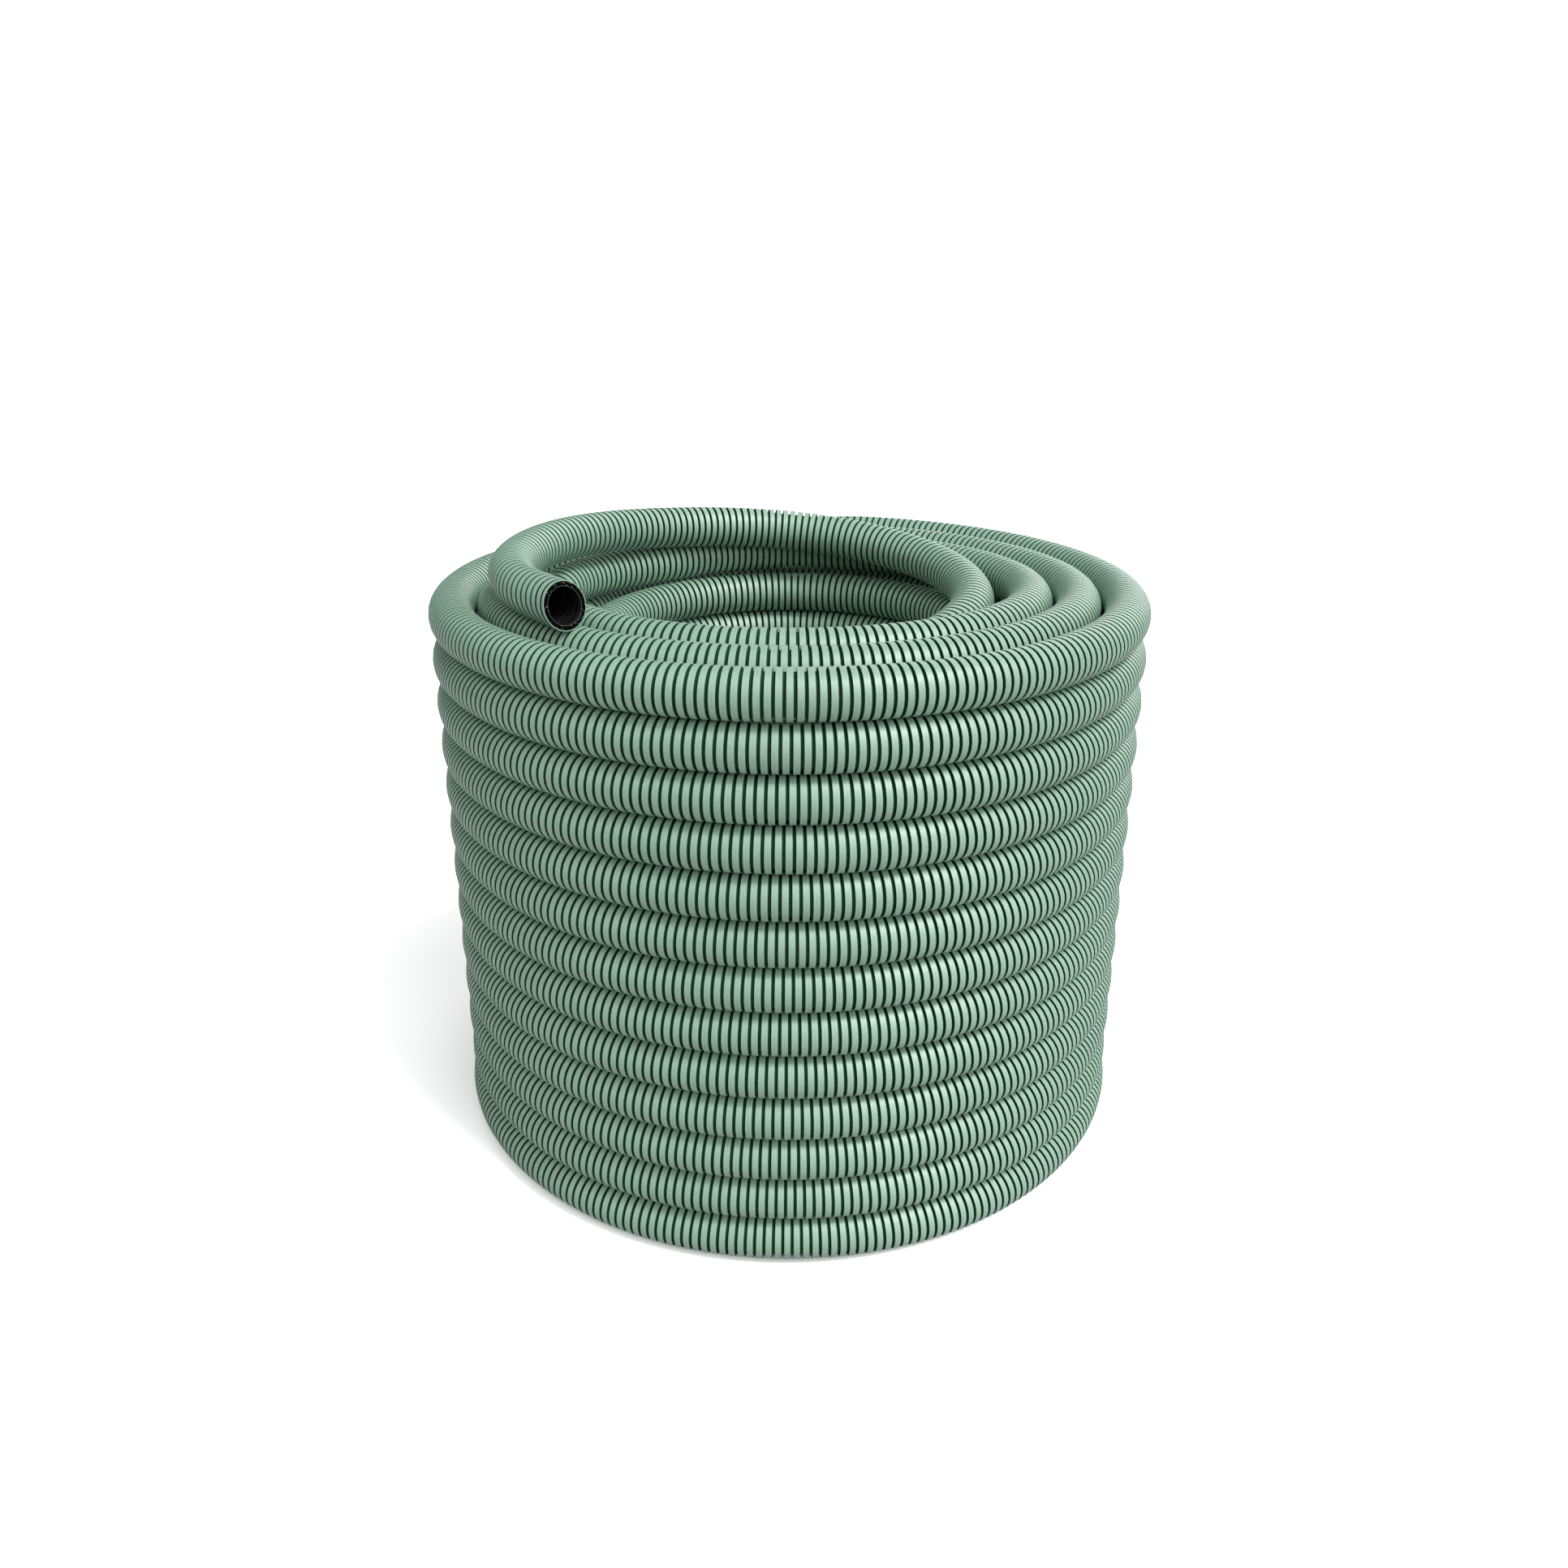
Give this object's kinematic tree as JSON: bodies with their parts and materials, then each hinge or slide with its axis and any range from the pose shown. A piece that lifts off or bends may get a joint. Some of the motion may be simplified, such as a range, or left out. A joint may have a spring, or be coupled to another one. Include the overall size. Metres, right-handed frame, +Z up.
{
  "type": "soaker hose",
  "caption": "Ribbed porous garden hose wound into an upright cylindrical coil, with one open cut end lying across the top.",
  "frame": {"origin": "centre of the coil on the surface it stands on", "axes": "+Z up along the middle of the coil, -Y towards the side over which the open cut end lies, +X to its right"},
  "size_m": [0.28, 0.2794, 0.2423],
  "materials": {
    "sheath": "satin light green ribbed sheath with darker grooves",
    "porous_wall": "matte black crumb rubber with pale specks",
    "liner": "satin dark grey",
    "hidden_turns": "satin, in the coil's shade"
  },
  "bodies": {
    "root": {"outer_turns": "sheath", "top_turn": "sheath", "inner_turns": "sheath", "free_end": "sheath", "wound_core": "hidden_turns", "end_sheath": "sheath", "end_wall": "porous_wall", "end_liner": "liner", "tucked_sheath": "sheath", "tucked_wall": "porous_wall", "tucked_liner": "liner"}
  },
  "joints": []
}
